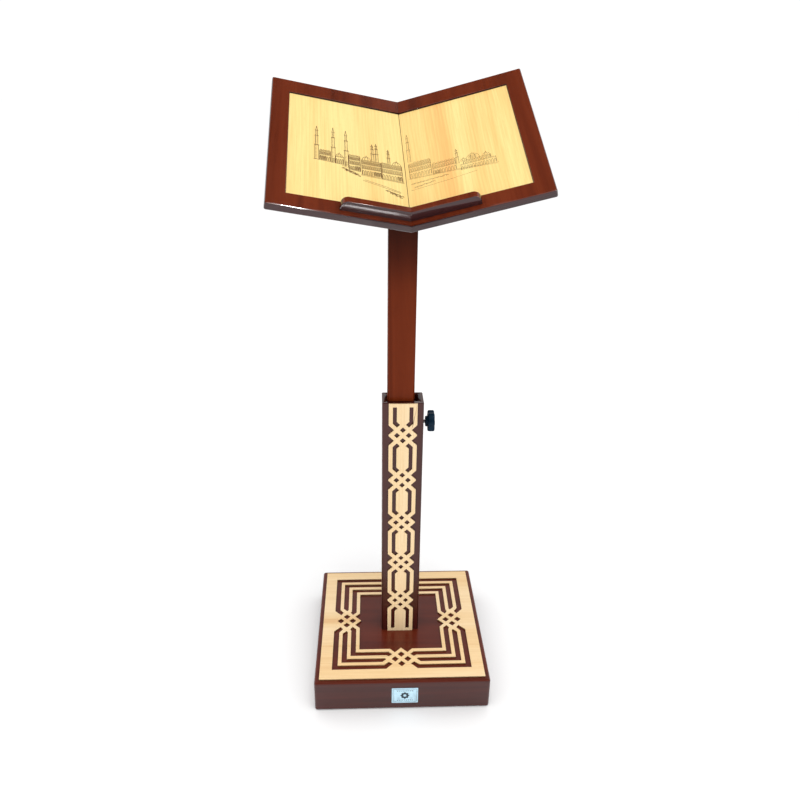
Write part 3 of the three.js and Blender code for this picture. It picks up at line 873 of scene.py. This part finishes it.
mirrors_glint = bpy.data.collections.new("mirrors_glint")
for name, side in (("left", -1), ("right", 1)):
    turn = wing_frame(side).to_3x3()
    frame_lacquer = lacquer(
        f"red_lacquer_{name}_wing", *RED, turn @ along(0, 1, 0), rough=(0.2, 0.28), specular=0.3, coat=0.35,
    )
    veneer = wood(f"veneer_{name}", *VENEER, turn, bold=0.5, arches=0.5 + 0.5 * side, rough=(0.36, 0.48))
    burnt = wood(f"burnt_veneer_{name}", *BURNT, turn, rough=(0.7, 0.85))
    # the narrow faces take a darker copy of the red: painted shade
    edge_painted_shade_lacquer = lacquer(
        f"painted_shade_lacquer_{name}_edges", *EDGE_PAINTED_SHADE, turn @ along(1, 0, 0), rough=(0.2, 0.28), coat=0.35,
    )
    board = subtract(wing_board(), [
        countersink(x, desk_foot + LEDGE_AT + LEDGE_T / 2, -WING_T) for x in LEDGE_SCREWS
    ])
    ledge = ledge_bar()
    paint_shade_on_edges(board)
    paint_shade_on_edges(ledge)
    lacquered = [
        piece(
            f"{name}_wing_frame", mirrored(board, side), [frame_lacquer, edge_painted_shade_lacquer],
            DESK, [f"{name}_wing_board"],
        ),
        piece(
            f"{name}_ledge_bar", mirrored(ledge, side), [frame_lacquer, edge_painted_shade_lacquer],
            DESK, [f"{name}_ledge"],
        ),
    ]
    for obj in lacquered:
        mirrors_glint.objects.link(obj)
    piece(
        f"{name}_engraved_panel", mirrored(wing_panel(side), side), [veneer, burnt],
        DESK, [f"{name}_wing_panel"],
    )

# ---------------------------------------------------------------- clamp

knob_low, knob_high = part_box("knob_head")
HEAD_T = 11 * MM
HEAD_R = 18.2 * MM
HUB_R = 8.8 * MM
LOBES = 7
LOBE_DEPTH = 2.6 * MM


def knob_head():
    """A lobed head on a round hub, with rounded arrises, a dished face and a raised cap."""
    back = knob_high.x - HEAD_T
    bore = 3.3 * MM
    edge = 2.6 * MM
    steps = 7 * 16
    # (radius, how far the ring is drawn in from it, x); the rings at HEAD_R are lobed
    stations = [
        (bore, 0, knob_low.x), (HUB_R - 0.8 * MM, 0, knob_low.x), (HUB_R, 0, knob_low.x + 0.8 * MM),
        (HUB_R, 0, back - 0.4 * MM), (HUB_R + 0.8 * MM, 0, back),
    ]
    rounding = [math.radians(90) * i / 5 for i in range(6)]
    stations += [(HEAD_R, edge * (1 - math.sin(t)), back + edge * (1 - math.cos(t))) for t in rounding]
    stations += [(HEAD_R, edge * (1 - math.cos(t)), knob_high.x - edge * (1 - math.sin(t))) for t in rounding]
    stations += [
        (12.2 * MM, 0, knob_high.x), (11.4 * MM, 0, knob_high.x - 0.9 * MM),
        (8.2 * MM, 0, knob_high.x - 1.0 * MM), (7.6 * MM, 0, knob_high.x - 0.3 * MM),
        (6.8 * MM, 0, knob_high.x),
    ]
    bm = bmesh.new()
    rings = []
    for radius, inset, x in stations:
        ring = []
        for i in range(steps):
            t = 2 * math.pi * i / steps
            r = radius - inset
            if radius == HEAD_R:
                r -= LOBE_DEPTH * (1 - math.cos(LOBES * t)) / 2
            ring.append(bm.verts.new((r * math.cos(t), r * math.sin(t), x)))
        rings.append(ring)
    for a, b in zip(rings, rings[1:]):
        bridge(bm, a, b)
    pole = bm.verts.new((0, 0, knob_high.x))
    bridge(bm, rings[-1], [pole])
    bore_end = knob_low.x + 10 * MM
    inner = [bm.verts.new((v.co.x, v.co.y, bore_end)) for v in rings[0]]
    bridge(bm, inner, rings[0])
    bridge(bm, [bm.verts.new((0, 0, bore_end))], inner)
    bm.transform(to_clamp)
    return bm


piece("knob_star", knob_head(), [black_plastic], KNOB, ["knob_head"])

stud_low, stud_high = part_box("clamp_stud")


def threaded_rod(x0, x1, radius, pitch, depth, around=28, along_pitch=8):
    """A rod with a V thread and chamfered ends."""
    bm = bmesh.new()
    rings = []
    count = round((x1 - x0) / pitch * along_pitch)
    for k in range(count + 1):
        x = x0 + (x1 - x0) * k / count
        ring = []
        for i in range(around):
            t = 2 * math.pi * i / around
            phase = (x / pitch - i / around) % 1.0
            r = radius - depth * abs(2 * phase - 1)
            end = min(x - x0, x1 - x, 1 * MM) / MM
            r -= 0.7 * MM * (1 - end)
            ring.append(bm.verts.new((r * math.cos(t), r * math.sin(t), x)))
        rings.append(ring)
    for a, b in zip(rings, rings[1:]):
        bridge(bm, a, b)
    bridge(bm, [bm.verts.new((0, 0, x0))], rings[0])
    bridge(bm, rings[-1], [bm.verts.new((0, 0, x1))])
    return bm


stud = threaded_rod(stud_low.x, stud_high.x, 3 * MM, 1 * MM, 0.5 * MM)
stud.transform(to_clamp)
piece("clamp_stud_thread", stud, [steel], KNOB, ["clamp_stud"], even=False)

insert = turned([
    (3.3 * MM, insert_low.x), (4.2 * MM, insert_low.x), (INSERT_R, insert_low.x + 0.5 * MM),
    (INSERT_R, insert_high.x - 1.2 * MM), (INSERT_R, insert_high.x - 0.3 * MM),
    (INSERT_R - 0.3 * MM, insert_high.x), (3.7 * MM, insert_high.x), (3.3 * MM, insert_high.x - 0.4 * MM),
    (3.3 * MM, insert_low.x),
], 56)
bmesh.ops.remove_doubles(insert, verts=insert.verts, dist=1e-7)
insert.transform(to_clamp)
piece("insert_sleeve", insert, [brass_metal], BASE, ["threaded_insert"])

press_low, press_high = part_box("pressure_pad")
PRESS_R = (press_high.y - press_low.y) / 2
press = turned([
    (0, press_low.x + 0.2 * MM), (5 * MM, press_low.x + 0.2 * MM), (5.6 * MM, press_low.x),
    (PRESS_R - 0.7 * MM, press_low.x), (PRESS_R, press_low.x + 0.7 * MM),
    (PRESS_R, press_high.x - 0.6 * MM), (PRESS_R - 0.6 * MM, press_high.x),
    (3.6 * MM, press_high.x), (3.3 * MM, press_high.x - 0.3 * MM),
    (3.3 * MM, stud_low.x - 0.2 * MM), (0, stud_low.x - 0.2 * MM),
], 48)
press.transform(to_clamp)
piece("pressure_pad_disc", press, [black_plastic], PAD, ["pressure_pad"])

# ---------------------------------------------------------------- screws

def axis_of(node):
    """A frame at the middle of a screw's head, z towards its tip, and the screw's length."""
    points = np.array([v.co for v in frame["nodes"][node].data.vertices])
    middle = points.mean(0)
    _, vectors = np.linalg.eigh(np.cov((points - middle).T))
    z = vectors[:, -1]
    reach = (points - middle) @ z
    spread = np.linalg.norm((points - middle) - np.outer(reach, z), axis=1)
    low_end, high_end = reach < reach.min() + 0.1 * MM, reach > reach.max() - 0.1 * MM
    if spread[high_end].max() > spread[low_end].max():
        z, reach = -z, -reach
    tip_to_head = reach.min()
    head = Vector(middle + z * tip_to_head)
    turn = Vector(z).to_track_quat("Z", "Y").to_matrix().to_4x4()
    return Matrix.Translation(head) @ turn, float(reach.max() - reach.min())


def cross_screw(length):
    """A countersunk wood screw with a cross recess and a coarse thread."""
    plain = SCREW_PLAIN * length
    bm = turned([
        (0, 0), (SCREW_HEAD_R - 0.3 * MM, 0), (SCREW_HEAD_R, 0.3 * MM), (SCREW_SHANK_R, SCREW_HEAD_H),
        (SCREW_SHANK_R, plain), (0, plain),
    ], 32)
    arms = []
    for quarter in range(2):
        arm = box_solid((-2.1 * MM, -0.45 * MM, -MM), (2.1 * MM, 0.45 * MM, 1.5 * MM))
        for v in arm.verts:
            if v.co.z > 0:
                v.co.x *= 0.35
                v.co.y *= 0.6
        arm.transform(Matrix.Rotation(math.radians(90 * quarter + 20), 4, "Z"))
        arms.append(arm)
    head = subtract(bm, arms)
    thread = threaded_rod(plain - 0.2 * MM, length, SCREW_SHANK_R, 1.8 * MM, 0.7 * MM, 20, 6)
    for v in thread.verts:
        taper = min(1.0, (length - v.co.z) / (3 * MM) + 0.05)
        v.co.x *= taper
        v.co.y *= taper
    mesh = bpy.data.meshes.new("thread")
    thread.to_mesh(mesh)
    thread.free()
    head.from_mesh(mesh)
    return head


screws = [n for n in frame["nodes"] if "_screw" in n]
for node in screws:
    place, length = axis_of(node)
    bm = cross_screw(length)
    bm.transform(place)
    body = frame["nodes"][node]["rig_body"]
    piece(f"{node}_threaded", bm, [steel], body, [node], even=False)

# ---------------------------------------------------------------- feet, bottom and inner blocks

def felt_disc(low, high, seed):
    """A felt disc with a fuzzy, slightly bulging edge."""
    radius = (high.x - low.x) / 2
    middle = (low + high) / 2
    rows = [(0.0, 0.0), (0.35, 0.0), (0.7, 0.0), (0.94, 0.0), (0.985, 0.12), (1.0, 0.35), (1.0, 0.65),
            (0.985, 0.88), (0.94, 1.0), (0.6, 1.0), (0.0, 1.0)]
    bm = turned([(radius * r, low.z + (high.z - low.z) * h) for r, h in rows], 64)
    rng = np.random.default_rng(seed)
    for v in bm.verts:
        if v.co.xy.length > radius * 0.9:
            v.co.xy *= 1 - 0.012 * rng.random()
    bm.transform(Matrix.Translation((middle.x, middle.y, 0)))
    return bm


corners = ("front_left", "front_right", "rear_right", "rear_left")
for i, corner_name in enumerate(corners):
    low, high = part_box(f"felt_pad_{corner_name}")
    piece(f"felt_foot_{corner_name}", felt_disc(low, high, i), [wool_felt], BASE,
          [f"felt_pad_{corner_name}"])


def keep(node, material, width):
    """A CAD node that stays, with its material and broken arrises."""
    obj = frame["nodes"][node]
    obj.data.materials.clear()
    obj.data.materials.append(material)
    weld = obj.modifiers.new("weld", "WELD")
    weld.merge_threshold = 0.002 * MM
    bevel = obj.modifiers.new("arris", "BEVEL")
    bevel.width = width
    bevel.segments = 2
    bevel.limit_method = "ANGLE"
    bevel.angle_limit = math.radians(50)


keep("base_bottom_board", raw_wood, 0.3 * MM)
keep("column_foot_block", raw_wood, 0.3 * MM)
for corner_name in corners:
    keep(f"corner_block_{corner_name}", raw_wood, 0.3 * MM)

# ---------------------------------------------------------------- label plate

plate_low, plate_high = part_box("label_plate")


def label_plate():
    """A plain plate with a ruled border, an eight-pointed star and two rows of lozenges."""
    half_x = (plate_high.x - plate_low.x) / 2
    half_z = (plate_high.z - plate_low.z) / 2
    marks = []
    frame_x, frame_z = half_x - 2.2 * MM, half_z - 2.2 * MM
    border = [(-frame_x, -frame_z), (frame_x, -frame_z), (frame_x, frame_z), (-frame_x, frame_z)]
    border.append(border[0])
    marks += ribbon(border, 0.35 * MM)
    for turn in (0, 45):
        size = 5.8 * MM
        square = [(size * math.cos(math.radians(turn + 90 * k)), size * math.sin(math.radians(turn + 90 * k)))
                  for k in range(5)]
        marks += ribbon(square, 3.0 * MM)
    for z in (-10.5 * MM, 10.5 * MM):
        for k in range(-4, 5):
            x, r = k * 3.2 * MM, 1.05 * MM
            marks.append([(x - r, z), (x, z - r), (x + r, z), (x, z + r)])
    outline = rounded_rectangle(half_x, half_z, 1.2 * MM)
    bm = engraved_sheet(outline, marks, 0.12 * MM, plate_high.y - plate_low.y)
    bm.transform(Matrix.Rotation(math.radians(90), 4, "X"))
    middle = (plate_low + plate_high) / 2
    bm.transform(Matrix.Translation((middle.x, plate_low.y, middle.z)))
    return bm


piece(
    "label_star_plate", label_plate(), [label_metal, label_ink], BASE, ["label_plate"],
    even=False,
)

# ---------------------------------------------------------------- stage, light and camera

def floor_material():
    s = Shader("pale_floor")
    s.set(Base_Color=(0.95, 0.95, 0.95, 1), Roughness=0.9, Specular_IOR_Level=0.0)
    return s.material


floor_bm = bmesh.new()
bmesh.ops.create_grid(floor_bm, x_segments=1, y_segments=1, size=30)
floor = link("floor", floor_bm)
floor.data.materials.append(floor_material())

world = bpy.data.worlds.new("studio")
bpy.context.scene.world = world
world.use_nodes = True
room = world.node_tree
white_room = room.nodes["Background"]
white_room.inputs["Color"].default_value = (1.0, 1.0, 1.0, 1)
white_room.inputs["Strength"].default_value = 1.06
# Polished faces mirror a white sweep up to about 43 degrees, and a dim ceiling above it
height = room.nodes.new("ShaderNodeSeparateXYZ")
room.links.new(room.nodes.new("ShaderNodeTexCoord").outputs["Generated"], height.inputs[0])
sweep = room.nodes.new("ShaderNodeMapRange")
for key, number in {"From Min": 0.68, "From Max": 0.71, "To Min": 1.0, "To Max": 0.02}.items():
    sweep.inputs[key].default_value = number
room.links.new(height.outputs["Z"], sweep.inputs["Value"])
mirrored_room = room.nodes.new("ShaderNodeBackground")
room.links.new(sweep.outputs["Result"], mirrored_room.inputs["Strength"])
choice = room.nodes.new("ShaderNodeMixShader")
room.links.new(room.nodes.new("ShaderNodeLightPath").outputs["Is Glossy Ray"], choice.inputs[0])
room.links.new(white_room.outputs[0], choice.inputs[1])
room.links.new(mirrored_room.outputs[0], choice.inputs[2])
room.links.new(choice.outputs[0], room.nodes["World Output"].inputs["Surface"])


def soft_light(name, place, aim, size, power, along_x=None):
    """A panel of light that is left out of the camera's own sight; along_x turns its width."""
    data = bpy.data.lights.new(name, "AREA")
    data.shape = "RECTANGLE"
    data.size, data.size_y = size
    data.energy = power
    obj = bpy.data.objects.new(name, data)
    z_axis = (Vector(place) - Vector(aim)).normalized()
    x_axis = Vector(along_x) if along_x else Vector((1, 0, 0))
    x_axis = (x_axis - x_axis.dot(z_axis) * z_axis).normalized()
    y_axis = z_axis.cross(x_axis)
    obj.matrix_world = Matrix.Translation(place) @ Matrix((x_axis, y_axis, z_axis)).transposed().to_4x4()
    obj.visible_camera = False
    bpy.context.scene.collection.objects.link(obj)
    return obj


CAMERA_AT = Vector((-0.051934, -1.054666, 0.994267))
middle = Vector((0, 0, 0.6))
overhead = soft_light("overhead", (0.2, -0.9, 3.6), middle, (1.6, 1.6), 30)
overhead.visible_glossy = False


def glint(name, side, lean, away, size, power):
    """A strip light that the rounded front arrises of one wing mirror towards the reader."""
    wing = wing_frame(side)
    turn = wing.to_3x3()
    arris = wing @ Vector((WING_W / 2, desk_foot, 0))
    sight = (CAMERA_AT - arris).normalized()
    facing = turn @ Vector((0, -math.sin(lean), math.cos(lean)))
    towards = 2 * facing.dot(sight) * facing - sight
    lamp = soft_light(name, arris + towards * away, arris, size, power, turn.col[0])
    lamp.visible_diffuse = False
    lamp.light_linking.receiver_collection = mirrors_glint


glint("glint_left", -1, math.radians(40), 2.2, (0.9, 0.7), 420)

camera_data = bpy.data.cameras.new("camera")
camera_data.sensor_width = 36
camera_data.lens = 32.205
camera = bpy.data.objects.new("camera", camera_data)
camera.location = CAMERA_AT
camera.rotation_euler = tuple(math.radians(a) for a in (65.661, -0.695, -2.274))
bpy.context.scene.collection.objects.link(camera)
bpy.context.scene.camera = camera
bpy.context.scene.view_settings.view_transform = "Standard"
